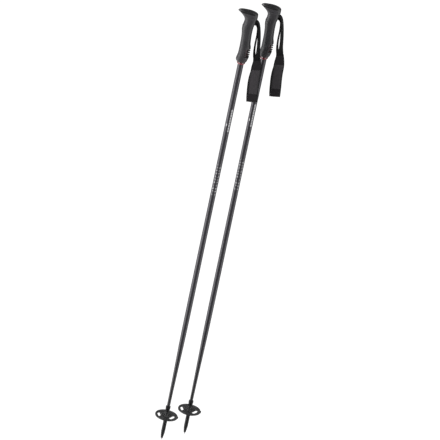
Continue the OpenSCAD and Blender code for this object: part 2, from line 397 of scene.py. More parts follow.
def red_plastic():
    """Glossy moulded red: clear on the collar's lower lip, with painted shade that turns it near black where
    it runs under the rubber and shows between the fins.
    """
    m = Material("red_plastic", Coat_Weight=0.5, Coat_Roughness=0.08)
    _, _, z = m.split(m.place)
    above = m.math("DIVIDE", m.math("SUBTRACT", z, (GRIP_Z + 2) * MM), 8 * MM)
    cloud = m.noise(90, detail=3)
    lip = m.mix(m.ramp(cloud, (0.35, 0.0), (0.65, 1.0)), (0.36, 0.012, 0.03), (0.44, 0.02, 0.045))
    # painted shade: from a few millimetres above the lip, the red is mixed to near black for the shadow under
    # the rubber and in the fin slots
    m.colour(m.mix(m.ramp(above, (0.22, 0.0), (0.42, 1.0)), lip, (0.055, 0.004, 0.007)))
    m.roughness(m.ramp(cloud, (0.3, 0.18), (0.7, 0.28)))
    m.bump(m.noise(900, detail=4), 0.03, 0.00012)
    return m.made


def spike_steel():
    """Hardened steel: fine turning marks round the point, scuffed towards its end."""
    m = Material("spike_steel", Metallic=1.0)
    turned = m.noise(2600, detail=2, stretch=(0.05, 0.05, 1))
    scuff = m.noise(500, detail=5)
    m.colour(m.mix(scuff, (0.42, 0.42, 0.43), (0.72, 0.71, 0.69)))
    m.roughness(m.ramp(scuff, (0.3, 0.22), (0.7, 0.42)))
    m.bump(turned, 0.25, 0.00006)
    return m.made


def webbing_weave(name, dark, light, pitch=0.9, relief=0.55):
    """Woven tape: two sets of slanting yarns that cross, with ribs along both edges."""
    m = Material(name, Roughness=0.8, Sheen_Weight=0.02, Sheen_Roughness=0.45, Specular_IOR_Level=0.08)
    across, along, _ = m.split(m.route())
    u = m.math("DIVIDE", across, pitch * MM)
    v = m.math("DIVIDE", along, pitch * MM)
    rib = m.math("ABSOLUTE", m.math("SINE", m.times(u, math.pi)))
    slant = m.math("ADD", v, m.math("PINGPONG", u, 1.0))
    yarn = m.math("ABSOLUTE", m.math("SINE", m.times(slant, math.pi)))
    weave = m.times(m.math("POWER", rib, 0.6), m.math("ADD", 0.35, m.times(yarn, 0.65)))
    cloud = m.noise(160, detail=4)
    shade = m.times(weave, m.math("ADD", 0.75, m.times(cloud, 0.5)))
    m.colour(m.mix(m.math("MINIMUM", shade, 1.0), dark, light))
    m.bump(weave, relief, 0.00022)
    m.bump(m.noise(2400, detail=2), 0.2, 0.0001)
    return m.made


def pad_cloth(name, dark, light):
    """Close plain-woven cloth over foam: fine threads both ways, soft mottling."""
    m = Material(name, Roughness=0.88, Sheen_Weight=0.04, Sheen_Roughness=0.4, Specular_IOR_Level=0.1)
    across, along, _ = m.split(m.route())
    pitch = 0.55 * MM
    u = m.math("SINE", m.times(across, math.tau / pitch))
    v = m.math("SINE", m.times(along, math.tau / pitch))
    threads = m.math("ADD", 0.5, m.times(m.times(u, v), 0.5))
    cloud = m.noise(120, detail=5)
    shade = m.math("ADD", m.times(threads, 0.55), m.times(cloud, 0.45))
    m.colour(m.mix(shade, dark, light))
    m.bump(threads, 0.5, 0.00016)
    m.bump(cloud, 0.15, 0.0008)
    return m.made


def sewing_thread():
    """Dark twisted thread."""
    m = Material("sewing_thread", Roughness=0.6, Sheen_Weight=0.3)
    twist = m.noise(3000, detail=2)
    m.colour(m.mix(twist, (0.03, 0.03, 0.033), (0.11, 0.11, 0.115)))
    m.bump(twist, 0.3, 0.0001)
    return m.made


# Colours and print, on the shaft in its own axes: heights in millimetres, turns in radians
SHAFT_DARK, SHAFT_LIGHT = (0.030, 0.028, 0.034), (0.062, 0.058, 0.068)
PRINT_WHITE = (0.62, 0.62, 0.63)
PRINT_BARS = (866, 929)
BAR_PITCH = 7.0
BAR_SHARE = 0.82
PRINT_BAR_TURN = (0.26, 0.74)
PRINT_DOT = (881, 888)
PRINT_DOT_TURN = (-0.62, -0.32)
DASH_ZONE = (690, 772)
DASH_PITCH = 8.2
DASH_TURNS = ((-0.75, -0.2), (0.25, 0.85))
RUBBER_DARK, RUBBER_LIGHT = (0.022, 0.021, 0.023), (0.031, 0.029, 0.033)

LACQUER = shaft_lacquer()
RUBBER = grip_rubber()
RED = red_plastic()
CAP = moulded("cap_plastic", (0.004, 0.004, 0.0045), (0.008, 0.008, 0.009), 0.26, relief=0.05,
              Specular_IOR_Level=0.36)
LOCK = moulded("lock_plastic", (0.020, 0.020, 0.022), (0.032, 0.032, 0.035), 0.5)
TIP = moulded("tip_plastic", (0.004, 0.004, 0.0045), (0.008, 0.008, 0.009), 0.34, Specular_IOR_Level=0.22)
BASKET = moulded("basket_plastic", (0.009, 0.009, 0.010), (0.018, 0.018, 0.019), 0.38,
                 grain=600, Specular_IOR_Level=0.45)
STEEL = spike_steel()
WEBBING = webbing_weave("webbing_weave", (0.002, 0.002, 0.002), (0.012, 0.012, 0.013))
BINDING = webbing_weave("binding_weave", (0.002, 0.002, 0.002), (0.010, 0.010, 0.011), pitch=0.6,
                        relief=0.4)
PAD = pad_cloth("pad_cloth", (0.008, 0.007, 0.008), (0.034, 0.031, 0.034))
PANEL = pad_cloth("panel_cloth", (0.024, 0.022, 0.024), (0.082, 0.076, 0.082))
THREAD = sewing_thread()


# ---------------- placing pieces

def finish_piece(obj, material):
    """Gives a piece its one material."""
    obj.data.materials.clear()
    obj.data.materials.append(material)
    return obj


def place(obj, body, node=None):
    """Puts a piece on the left pole, and its twin on the right pole. Returns both."""
    base = obj.name
    pair = []
    for side in SIDES:
        piece = obj if side == "left" else obj.copy()
        if side == "right":
            show(piece)
        piece.name = f"{side}_{base}"
        piece.location = FOOT[side]
        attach(piece, f"{side}_{body}")
        if node:
            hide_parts(f"{side}_{node}")
        pair.append(piece)
    return pair


# ---------------- shaft and tip

# Radius of the shaft up its length, (height, radius), as in the part
SHAFT_OUTLINE = [(66, 3.8), (110, 4.05), (165, 4.7), (220, 5.5), (274, 6.35), (329, 6.7),
                 (440, 6.95), (710, 6.95), (GRIP_Z - 25, 7.45), (GRIP_Z + 96, 7.45)]


def make_shaft():
    """The tapered tube."""
    low, high = SHAFT_OUTLINE[0][0], SHAFT_OUTLINE[-1][0]
    rows = 240
    outline = [(curve_at(SHAFT_OUTLINE, z)[0], z)
               for z in (low + (high - low) * i / rows for i in range(rows + 1))]
    obj = lathe("shaft_tube", outline, sharp=60)
    place(finish_piece(obj, LACQUER), "pole", "shaft")


def make_ferrule():
    """The nylon tip: nose, basket seat and collar, turned as one piece."""
    groove = 0.22
    nose = [(0, 5), (2.35, 5), (2.62, 5.6), (3.55, 12), (4.35, 18), (4.8, 24)]
    rings = [(4.8, 56), (4.8 - groove, 56.6), (4.8 - groove, 57.4), (4.8, 58), (4.8, 62), (4.92, 63),
             (4.92, 80), (4.7, 81.6), (4.7, 83.2), (5.15, 84.4), (5.4, 85.2), (5.75, 88),
             (6.0, 90.4), (6.0, 91.6), (5.85, 93.2), (5.3, 94.8), (4.6, 95.0), (4.15, 94.6), (4.02, 93.5)]
    outline = [nose[0]] + rounded(nose[1:] + rings, 0.5)
    obj = lathe("ferrule_body", outline)
    # shallow flats down the nose, where the mould's cores met
    for v in obj.data.vertices:
        z = v.co.z / MM
        fade = step(6, 10, z) * (1 - step(46, 54, z))
        turn = math.atan2(v.co.y, v.co.x)
        dent = 0.16 * fade * bump(math.cos(4 * turn), -1, 0.5)
        scale = 1 - dent / 4.6
        v.co.x *= scale
        v.co.y *= scale
    place(finish_piece(obj, TIP), "pole", "ferrule")


def make_spike():
    """The steel point in the nose."""
    outline = [(0, 0.55), (0.55, 0.35), (1.05, 0.0), (1.3, 0.12), (1.34, 0.5), (1.42, 1.6),
               (1.62, 3.2), (1.95, 4.4), (2.1, 5.1), (2.1, 9.5), (0, 9.5)]
    obj = lathe("spike_point", outline, sides=48, sharp=32)
    # four small notches that make the end a crown
    for v in obj.data.vertices:
        z = v.co.z / MM
        if z < 0.7 and v.co.xy.length > 0.9 * MM:
            turn = math.atan2(v.co.y, v.co.x)
            v.co.z += 0.45 * MM * bump(math.cos(4 * turn), 1, 0.9) * (1 - step(0.2, 0.7, z))
    place(finish_piece(obj, STEEL), "pole", "spike")


def hollow_lathe(name, outline, sides):
    """A turned ring whose outline closes on itself, with nothing on its axis."""
    n = len(outline)
    points = [(r * math.cos(math.tau * j / sides), r * math.sin(math.tau * j / sides), z)
              for j in range(sides) for r, z in outline]
    faces = [(j * n + i, j * n + (i + 1) % n, (j + 1) % sides * n + (i + 1) % n, (j + 1) % sides * n + i)
             for j in range(sides) for i in range(n)]
    return tidy_normals(new_object(name, points, faces))


def prism(name, corners, low, high):
    """A flat outline of (x, y) corners raised from low to high."""
    n = len(corners)
    points = [(x, y, z) for z in (low, high) for x, y in corners]
    faces = [tuple(range(n - 1, -1, -1)), tuple(range(n, 2 * n))]
    faces += [(j, (j + 1) % n, n + (j + 1) % n, n + j) for j in range(n)]
    return tidy_normals(new_object(name, points, faces))


def soft_corners(corners, radius, steps=5):
    """A closed outline with each corner rounded."""
    looped = [corners[-1], *corners, corners[0]]
    return rounded(looped, radius, steps)[1:-1]


# Corners of the basket's two windows, and radii of its hub and skirt
LEFT_WINDOW = [(-18.8, 11.4), (-23.1, 2.0), (-18.6, -11.0), (-13.4, -5.0)]
RIGHT_WINDOW = [(20.2, 4.2), (19.9, -4.2), (13.3, -14.2), (8.1, -14.2), (7.4, -10.6), (16.0, 4.2)]
HUB_R = 6.6
SKIRT_R = 12.5


def make_basket():
    """Dished disc with a raised ribbed hub, two windows and a notched lug."""
    top = BASKET_Z
    outline = rounded([(5.0, 66.4), (SKIRT_R - 1.5, 66.2), (24.6, top - 1.6), (25.6, top - 1.7),
                       (26.0, top - 1.6), (28.2, top - 1.5), (28.2, top + 1.5), (26.0, top + 1.7),
                       (25.2, top + 0.0), (15.2, top - 0.1), (11.0, top + 1.0), (7.6, top + 3.4),
                       (HUB_R, top + 7.5), (HUB_R, 78.6), (6.2, 79.8), (5.0, 79.8)], 0.6)
    disc = hollow_lathe("basket_disc", outline, 128)
    ribs = []
    for i in range(12):
        rib = prism("rib", [(6.0, -0.7), (15.6, -0.55), (15.6, 0.55), (6.0, 0.7)], top - 1, top + 8.4)
        for v in rib.data.vertices:
            if v.co.z > top * MM:
                far = step(6.0 * MM, 15.6 * MM, v.co.x)
                v.co.z = (top + 8.2 - 7.4 * far) * MM
        rib.data.transform(Matrix.Rotation(math.radians(30 * i + 15), 4, "Z"))
        ribs.append(rib)
    for i in range(8):
        rib = prism("under_rib", [(10.5, -0.5), (26.4, -0.5), (26.4, 0.5), (10.5, 0.5)], top - 2.1, top - 0.6)
        rib.data.transform(Matrix.Rotation(math.radians(45 * i + 22.5), 4, "Z"))
        ribs.append(rib)
    for r, low, high in ((16.4, top - 1.2, top + 0.75), (21.4, top - 1.2, top + 0.6)):
        ribs.append(hollow_lathe("ridge", [(r - 0.45, low), (r + 0.45, low), (r + 0.45, high),
                                           (r - 0.45, high)], 96))
    lug = prism("lug", soft_corners([(24.8, -4.6), (29.4, -3.6), (29.4, 3.8), (26.4, 5.0), (24.8, 4.6)], 0.9),
                top - 1.7, top + 1.7)
    solid = join("basket_disc", [disc, *ribs, lug])
    remesh = solid.modifiers.new("skin", "REMESH")
    remesh.mode = "VOXEL"
    remesh.voxel_size = 0.42 * MM
    apply_modifiers(solid)
    cutters = [prism("window", soft_corners(LEFT_WINDOW, 2.2), top - 12, top + 16),
               prism("window", soft_corners(RIGHT_WINDOW, 2.0), top - 12, top + 16),
               lathe("notch", [(0, top - 12), (2.2, top - 12), (2.2, top + 12), (0, top + 12)], sides=32),
               lathe("hub_bore", [(0, 60), (4.98, 60), (4.98, 84), (0, 84)], sides=64)]
    cutters[2].data.transform(Matrix.Translation((27.4 * MM, 6.4 * MM, 0)))
    for cutter in cutters:
        cut = solid.modifiers.new("cut", "BOOLEAN")
        cut.operation = "DIFFERENCE"
        cut.solver = "EXACT"
        cut.object = cutter
    apply_modifiers(solid)
    for cutter in cutters:
        bpy.data.objects.remove(cutter)
    again = solid.modifiers.new("skin", "REMESH")
    again.mode = "VOXEL"
    again.voxel_size = 0.40 * MM
    smooth = solid.modifiers.new("smooth", "SMOOTH")
    smooth.factor = 0.5
    smooth.iterations = 3
    apply_modifiers(solid)
    solid.data.polygons.foreach_set("use_smooth", [True] * len(solid.data.polygons))
    place(finish_piece(solid, BASKET), "basket", "basket")


# ---------------- grip

# Sections up the grip, above the collar's lower edge: (height, front x, back x, half-width)
HALF = 12.5
COLLAR = 9
# The collar's red lip starts this far above the part's lower edge
COLLAR_LIFT = 2.4
JOINT = 139.5
GRIP_SECTIONS = [
    (COLLAR, -12.6, 12, HALF - 0.2), (10.2, -13.5, 12.7, HALF + 0.4), (13, -14.5, 13.7, HALF + 0.9),
    (16, -14.5, 14.5, HALF + 1.2), (21, -13.5, 15.6, HALF + 1.2), (30, -12.1, 16.6, HALF + 0.7),
    (48, -11.8, 15.8, HALF + 0.3), (57, -11.9, 13.6, HALF), (70, -12.3, 12.4, HALF),
    (84, -13.4, 11.7, HALF), (97, -15.4, 11.8, HALF + 0.1), (105, -15.1, 12.4, HALF + 0.2),
    (113, -13.6, 14.2, HALF + 0.5), (120, -13.1, 16, HALF + 0.8), (127, -15, 17.2, HALF + 1),
    (132, -18.9, 17.5, HALF + 1), (136, -23.8, 17.5, HALF + 0.9), (JOINT, -28.8, 17, HALF + 0.4)]
CAP_SECTIONS = [
    (JOINT, -28.8, 17, HALF + 0.4), (142, -32.4, 15.2, HALF - 1), (144, -31.7, 11.9, HALF - 3.2),
    (146, -29, 6.8, HALF - 6.2), (147.3, -25.6, 1.4, HALF - 8.6), (148, -18, -5, 0.9)]
# Share of the way up the cap's sections where its top panel starts
PANEL_LINE = 0.575
RING_POINTS = 144
# The fins at the back: slot heights, then the teeth's heights, depth and share of the full width
FIN_SLOTS = (25.8, 31.4, 37, 42.6)
FIN_SLOT_HALF = 1.6
TOOTH_Z = (22.5, 24.2, 44, 46)
TOOTH_X = (7.5, 13)
TOOTH_WIDTH = 0.27
CORE_WINDOW_R = 11.6
# The opening that the strap comes out of: heights, half-width and how far back its floor is
MOUTH = (110.4, 127)
MOUTH_HALF = 9.6
MOUTH_FLOOR = 12.2


def beak_taper(front):
    """How much a section narrows towards its front, from where the beak begins."""
    return 0.5 * clamp((-front - 13) / 20)


def ring_point(row, j):
    """Point j of RING_POINTS round a section (height, front, back, half-width)."""
    z, front, back, half = row
    turn = math.tau * j / RING_POINTS
    c = signed_power(math.cos(turn), 0.86)
    x = (front + back) / 2 + (back - front) / 2 * c
    k = 1 - beak_taper(front) * (1 - c) / 2
    # between these heights the back narrows into teeth
    k *= 1 - (1 - TOOTH_WIDTH) * step(*TOOTH_X, x) * step(*TOOTH_Z[:2], z) * (1 - step(*TOOTH_Z[2:], z))
    return [x, half * signed_power(math.sin(turn), 0.86) * k, z]


def grip_heights():
    """Heights for the grip's rings: even, with close pairs at each slot's edges."""
    heights = [COLLAR + d for d in (0, 0.2, 0.5, 0.9, 1.4)]
    z = COLLAR + 2.0
    while z < JOINT - 1.4:
        heights.append(z)
        z += 1.0
    for edge in [s + d * FIN_SLOT_HALF for s in FIN_SLOTS for d in (-1, 1)] + list(MOUTH):
        heights += [edge - 0.4, edge - 0.2, edge, edge + 0.2, edge + 0.4]
    heights += [JOINT - d for d in (1.2, 0.8, 0.5, 0.3)]
    return sorted(set(round(h, 3) for h in heights if h <= JOINT - 0.3))


def shape_grip(p):
    """Cuts the fin slots, the strap's mouth and the side grooves into a point of the grip's skin."""
    x, y, z = p
    radius = math.hypot(x, y)
    for slot in FIN_SLOTS:
        # each slot is tallest at the back and closes towards the front
        half = 0.35 + (FIN_SLOT_HALF - 0.35) * step(0, 10, x)
        deep = (1 - step(half - 0.25, half + 0.15, abs(z - slot))) * step(0.5, 4, x)
        if deep:
            scale = 1 - deep * max(0, radius - (CORE_WINDOW_R - 0.6)) / radius
            x, y = x * scale, y * scale
    if x > 8:
        deep = step(MOUTH[0] - 0.25, MOUTH[0] + 0.25, z) * (1 - step(MOUTH[1] - 0.25, MOUTH[1] + 0.25, z))
        deep *= 1 - step(MOUTH_HALF - 0.3, MOUTH_HALF + 0.3, abs(y))
        x -= deep * max(0, x - MOUTH_FLOOR)
    # groove that sweeps along each side of the head, under the cap
    line = 131.4 + 0.05 * x - 0.007 * (x + 2) ** 2
    side = step(4, 8, abs(y)) * step(-19, -13, x) * (1 - step(9, 14, x))
    groove = 0.8 * side * math.exp(-((z - line) / 0.9) ** 2)
    # shallow dish for the thumb behind the beak, a low ridge under the forefinger, two at the neck
    dish = 0.5 * math.exp(-((z - 118) / 7) ** 2) * step(6, 10, abs(y)) * math.exp(-((x + 3) / 7) ** 2)
    ridge = 0.35 * math.exp(-((z - 106) / 2.4) ** 2) * step(2, -10, x)
    neck = 0.3 * sum(math.exp(-((z - at - 0.1 * x) / 0.9) ** 2) for at in (109, 112.5)) * step(0, -8, x)
    inward = groove + dish - ridge + neck
    radius = math.hypot(x, y)
    scale = 1 - inward / max(radius, 1)
    return [x * scale, y * scale, z]


def make_grip():
    """The rubber body, with its fins, mouth and grooves."""
    rings = []
    top = JOINT - 0.3
    for z in grip_heights():
        front, back, half = curve_at(GRIP_SECTIONS, z)
        tuck = 0.7 * step(top - 1.0, top, z) + 0.9 * (1 - step(0, 1.2, z - COLLAR))
        row = (z, front + tuck, back - tuck, half - tuck)
        rings.append([shape_grip(ring_point(row, j)) for j in range(RING_POINTS)])
    rings = [[(x, y, z + GRIP_Z) for x, y, z in ring] for ring in rings]
    obj = loft("grip_skin", rings, sharp=42)
    place(finish_piece(obj, RUBBER), "pole", "grip_body")


def make_core():
    """The red core: the collar under the grip, and the part that shows between the fins."""
    base = GRIP_Z
    lip = base + COLLAR_LIFT
    outline = rounded([(7.46, lip), (8.8, lip), (9.8, lip + 0.3), (10.3, lip + 1.2),
                       (10.0, base + 4.5), (10.2, base + 5.0), (11.5, base + 8.6), (11.3, base + 9.4),
                       (8.4, base + 9.6), (8.4, base + 19.5), (CORE_WINDOW_R - 0.15, base + 20.5),
                       (CORE_WINDOW_R - 0.15, base + 48), (8.4, base + 49), (8.4, base + 104)], 0.3)
    obj = lathe("core_sleeve", outline)
    place(finish_piece(obj, RED), "pole", "grip_core")


def cap_row(t):
    """Section of the cap, t from 0 at its joint to 1 at its crown."""
    rows = spline_rows(CAP_SECTIONS, 12)
    at = t * (len(rows) - 1)
    i = min(int(at), len(rows) - 2)
    return [a + (b - a) * (at - i) for a, b in zip(rows[i], rows[i + 1])]


def make_cap():
    """The hard cap, from its joint with the rubber to its crown."""
    rings = []
    steps = 72
    first = cap_row(0)
    for lift, inset in ((-0.15, 1.3), (-0.1, 0.5), (0.15, 0.1), (0.5, -0.05)):
        row = (first[0] + lift, first[1] + inset, first[2] - inset, first[3] - inset)
        rings.append([ring_point(row, j) for j in range(RING_POINTS)])
    for i in range(3, steps + 1):
        t = i / steps
        row = cap_row(t)
        # a groove parts the top panel from the cap's rim, and the panel stands a little proud
        line = 1.1 * bump(t, PANEL_LINE, 0.034)
        proud = 0.18 * step(PANEL_LINE, PANEL_LINE + 0.05, t) * (1 - t)
        row = (row[0] - line * 0.8 + proud * 0.4, row[1] + line - proud, row[2] - line + proud,
               row[3] - line + proud)
        rings.append([ring_point(row, j) for j in range(RING_POINTS)])
    last = cap_row(1)
    for k in (0.66, 0.33, 0.02):
        middle = (last[1] + last[2]) / 2
        row = (last[0], middle + (last[1] - middle) * k, middle + (last[2] - middle) * k, last[3] * k)
        rings.append([ring_point(row, j) for j in range(RING_POINTS)])
    rings = [[(x, y, min(z + GRIP_Z, CROWN_Z)) for x, y, z in ring] for ring in rings]
    obj = loft("cap_shell", rings, sharp=50)
    place(finish_piece(obj, CAP), "pole", "grip_cap")


RIB_PITCH = 2.4


def make_wedge():
    """The lock's wedge: a soft-edged block with gripping ribs on its top and underside."""
    low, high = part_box("left_strap_wedge")
    size = [(b - a) / MM for a, b in zip(low, high)]
    middle = [(a + b) / 2 / MM for a, b in zip(low, high)]
    n = 40
    rings = []
    for i in range(n + 1):
        along = size[0] * i / n
        edge = 0.5 * (1 - step(0, 0.6, along)) + 0.5 * step(size[0] - 0.6, size[0], along)
        rib = 0.35 * (0.5 + 0.5 * math.cos(math.tau * along / RIB_PITCH))
        ring = []
        for sy, sz in ((1, 1), (-1, 1), (-1, -1), (1, -1)):
            for k in range(4):
                turn = math.atan2(sz, sy) + math.radians(-30 + 20 * k)
                c, s = signed_power(math.cos(turn), 0.25), signed_power(math.sin(turn), 0.25)
                ring.append((low.x / MM + along, middle[1] + (size[1] / 2 - edge) * c,
                             middle[2] + (size[2] / 2 - edge - rib) * s))
        rings.append(ring)
    obj = loft("lock_wedge", rings, sharp=35)
    place(finish_piece(obj, LOCK), "strap_lock", "strap_wedge")


# ---------------- strap

# Routes of the strap, above the collar's lower edge: [x, y, height, width, roll in degrees].
# The strap leaves the grip on OUTER, goes round the fold in BAND and comes back on INNER.
W = 18
OUTER = [[12.4, 0, 121.2, W, 90], [16.8, 0, 121.2, W, 90], [21.4, 0, 117.6, W, 88], [24.4, 0, 112, W, 86],
         [26.4, 0, 104.5, W, 82], [28.5, -0.2, 94, W, 77], [30.1, -0.5, 83, W, 72],
         [31.5, -1, 73, W, 69], [33.1, -1.6, 62, W, 68], [34.3, -2.2, 52, W, 66],
         [35.2, -2.8, 43, W, 63], [36.1, -3.4, 33, W, 55], [36.7, -4, 23, W + 1, 33],
         [37.8, -4.8, 12.5, W + 4.5, 25], [38.9, -5.6, 1, W + 7.2, 14], [39.8, -6.3, -10, W + 8, 4]]
BAND = [[40.3, -6.4, -30, W + 8, 0], [41.7, -6.4, -49, W + 8, 0], [43.8, -6.4, -69, W + 8, 0],
        [45, -6.1, -86, W + 8, 0], [44.9, -4.2, -91.5, W + 8, 0], [44.5, 0, -93.5, W + 8, 0],
        [43.9, 4.2, -91.5, W + 8, 0], [42.6, 6.1, -86, W + 8, 0], [40.6, 6.4, -70, W + 8, 0],
        [38.8, 6.4, -50, W + 8, 0], [38.6, 6.4, -34, W + 8, 0]]
INNER = [[38.9, 6.3, -18, W + 6.5, 8], [37.4, 6, -8, W + 3.5, 30], [34.2, 5, 2, W + 1, 56],
         [31.4, 3.6, 13, W, 72], [29.3, 2.4, 23.5, W, 78], [27, 1.6, 33, W, 79],
         [25.6, 1, 43, W, 80], [24.9, 0.6, 54, W, 80], [24.5, 0.3, 66, W, 80], [24.6, 0.2, 78, W, 80],
         [24.2, 0, 89, W, 82], [23.2, 0, 99.4, W, 84], [21.2, 0, 108, W, 88],
         [17.8, 0, 113.6, W, 90], [12.4, 0, 115.4, W, 90]]
# The band's lower fold slants by this much
FOLD_TILT = 0.135
FOLD_H = -93.5
WEB_T = 1.5
PAD_T = 2.9


class Route:
    """A strap's centreline with its width and face directions, by distance along it."""

    def __init__(self, rows, per_span=16):
        rows = spline_rows(rows, per_span)
        self.p = [Vector(r[:3]) + Vector((0, 0, GRIP_Z)) for r in rows]
        self.width = [r[3] for r in rows]
        self.side, self.face, self.s = [], [], [0.0]
        for i, row in enumerate(rows):
            d = (self.p[min(i + 1, len(rows) - 1)] - self.p[max(i - 1, 0)]).normalized()
            roll = math.radians(row[4])
            lift = FOLD_TILT * clamp(row[2] / FOLD_H)
            r = Vector((math.cos(roll), math.sin(roll), lift))
            side = (r - d * r.dot(d)).normalized()
            self.side.append(side)
            self.face.append(d.cross(side))
            if i:
                self.s.append(self.s[-1] + (self.p[i] - self.p[i - 1]).length)
        self.length = self.s[-1]

    def at(self, s):
        s = clamp(s, 0, self.length)
        i = min(max(sum(1 for v in self.s if v <= s) - 1, 0), len(self.s) - 2)
        t = (s - self.s[i]) / max(self.s[i + 1] - self.s[i], 1e-9)

        def lerp(a):
            return a[i].lerp(a[i + 1], t)
        width = self.width[i] + (self.width[i + 1] - self.width[i]) * t
        return lerp(self.p), lerp(self.side).normalized(), lerp(self.face).normalized(), width

    def first_below(self, height):
        """Distance along the route of its first point below a height."""
        return min(s for s, p in zip(self.s, self.p) if p.z <= height + GRIP_Z)

    def last_below(self, height):
        """Distance along the route of its last point below a height."""
        return max(s for s, p in zip(self.s, self.p) if p.z <= height + GRIP_Z)


LOOP = Route(OUTER + BAND + INNER)


def strip(name, start, end, shape, rise=0.0, spacing=1.6):
    """A strip along the loop. shape(s, share) gives its outline as (across, out) pairs."""
    n = max(2, int((end - start) / spacing))
    rings, uvs = [], []
    for i in range(n + 1):
        s = start + (end - start) * i / n
        p, side, face, _ = LOOP.at(s)
        outline = shape(s, i / n)
        rings.append([tuple(p + side * a + face * (b + rise)) for a, b in outline])
        uvs += [(a * MM, s * MM) for a, b in outline]
    return loft(name, rings, uvs)


def flat_outline(width, thick, edge=0.5, across=9):
    """A flat strip's outline with rounded edges, as (across, out) pairs."""
    h, t = width / 2, thick / 2
    e = min(edge, t)
    half = [(-h + e + (width - 2 * e) * k / (across - 1), t) for k in range(across)]
    half += [(h - e * (1 - math.sin(a)), t * math.cos(a)) for a in (math.pi * k / 4 for k in (1, 2, 3))]
    return half + [(-a, -b) for a, b in half]


# Distances along the loop where the padded band starts and ends
PAD_START = LOOP.first_below(21)
PAD_END = LOOP.last_below(4)
# How far the narrow tape runs on inside each end of the band
SEWN_IN = 14
# Heights of the panel's ends on the band's outer side, its width, and how far it lies off the centreline
PANEL_TOP, PANEL_FOOT = -3, -71
PANEL_WIDTH = 21.4
PANEL_RISE = 0.62
STITCH_PITCH = 3.0


def pad_width(s):
    """Width of the padded band at a distance along the loop."""
    return LOOP.at(s)[3]


def make_webbing():
    """Both narrow strands as one tape, running from the lock to the strap."""
    strands = (("outer", 0, PAD_START + SEWN_IN), ("inner", PAD_END - SEWN_IN, LOOP.length))
    tapes = [strip(*strand, lambda s, share: flat_outline(W, WEB_T)) for strand in strands]
    webbing = join("webbing_tape", tapes)
    finish_piece(webbing, WEBBING)
    for side in SIDES:
        piece = webbing.copy()
        piece.data = webbing.data.copy()
        show(piece)
        piece.name = f"{side}_webbing_tape"
        piece.location = FOOT[side]
        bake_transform(piece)
        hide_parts(f"{side}_strap_webbing")
    bpy.data.objects.remove(webbing)


def pad_outline(s, share):
    """The band's outline: a crowned middle between two sewn channels, with slight puckers."""
    width = pad_width(s) - 2.6
    ends = step(0, 0.03, share) * (1 - step(0.97, 1, share))
    n = 22
    top, low = [], []
    for k in range(n + 1):
        u = -1 + 2 * k / n
        crown = (1 - abs(u) ** 3.2) * (0.75 + 0.25 * ends)
        channel = step(0.55, 0.8, abs(u)) * (1 - step(0.9, 1, abs(u)))
        pucker = 0.09 * math.sin(s * math.tau / STITCH_PITCH) * channel
        wave = 0.12 * math.sin(s * 0.21 + 1.7 * u) * (1 - u * u)
        half = 0.66 + (PAD_T / 2 - 0.5) * crown * ends + (pucker + wave) * ends
        top.append((u * width / 2, half))
        low.append((-u * width / 2, -half))
    return top + low


def make_pad():
    """The padded band, its outer panel and the bindings along its edges."""
    pad = strip("pad_band", PAD_START, PAD_END, pad_outline, spacing=1.2)
    pair = place(finish_piece(pad, PAD), "strap", "strap_pad")
    start, end = LOOP.first_below(PANEL_TOP), LOOP.first_below(PANEL_FOOT)

    def panel_outline(_, share):
        ends = step(0, 0.05, share) * (1 - step(0.95, 1, share))
        spread = [-1 + 2 * k / 14 for k in range(15)]
        under = [(u * PANEL_WIDTH / 2, -0.1) for u in spread]
        over = [(-u * PANEL_WIDTH / 2, 0.30 + 0.95 * (1 - abs(u) ** 5) * ends) for u in spread]
        return under + over
    panel = strip("pad_panel", start, end, panel_outline, rise=PANEL_RISE, spacing=1.2)
    place(finish_piece(panel, PANEL), "strap")
    for hand, name in ((-1, "pad_binding_front"), (1, "pad_binding_back")):

        def binding_outline(s, _, hand=hand):
            middle = hand * (pad_width(s) / 2 - 1.5)
            turns = [math.tau * k / 14 for k in range(14)]
            return [(middle + 1.5 * signed_power(math.cos(a), 0.6), 1.35 * signed_power(math.sin(a), 0.7))
                    for a in turns]
        edge = strip(name, PAD_START - 1, PAD_END + 1, binding_outline, spacing=1.2)
        place(finish_piece(edge, BINDING), "strap")


def make_stitches():
    """Thread along both bindings and across the panel's ends, each stitch a small bead."""
    points, faces = [], []

    def stitch(p, along, out, long=2.0, wide=0.26):
        across = along.cross(out).normalized()
        base = len(points)
        rows, around = 5, 6
        for i in range(rows):
            u = -1 + 2 * i / (rows - 1)
            r = wide * math.sqrt(max(0.08, 1 - u * u))
            for k in range(around):
                turn = math.tau * k / around
                q = p + along * (u * long / 2) + across * (r * math.cos(turn)) + out * (r * math.sin(turn))
                points.append(tuple(q))
        for i in range(rows - 1):
            for k in range(around):
                a, b = base + i * around + k, base + i * around + (k + 1) % around
                faces.append((a, b, b + around, a + around))
        faces.append(tuple(base + k for k in range(around - 1, -1, -1)))
        faces.append(tuple(base + (rows - 1) * around + k for k in range(around)))

    s = PAD_START + 2
    while s < PAD_END - 2:
        p, side, face, _ = LOOP.at(s)
        along = (LOOP.at(s + 0.5)[0] - p).normalized()
        for hand in (-1, 1):
            for out in (-1, 1):
                at = p + side * (hand * (pad_width(s) / 2 - 1.9)) + face * (out * 1.30)
                stitch(at, along, face * out)
        s += STITCH_PITCH
    for height in (PANEL_TOP - 2.5, PANEL_FOOT + 2.5):
        s = LOOP.first_below(height)
        p, side, face, _ = LOOP.at(s)
        for k in range(7):
            at = p + side * (-8.4 + 2.8 * k) + face * 1.9
            stitch(at, side, face)
    obj = tidy_normals(new_object("pad_stitches", points, faces))
    place(finish_piece(obj, THREAD), "strap")


# ---------------- studio

# The floor lies this far below the spikes' points, so that a basket pulled off its pole stays in sight
FLOOR_DROP = 0.03


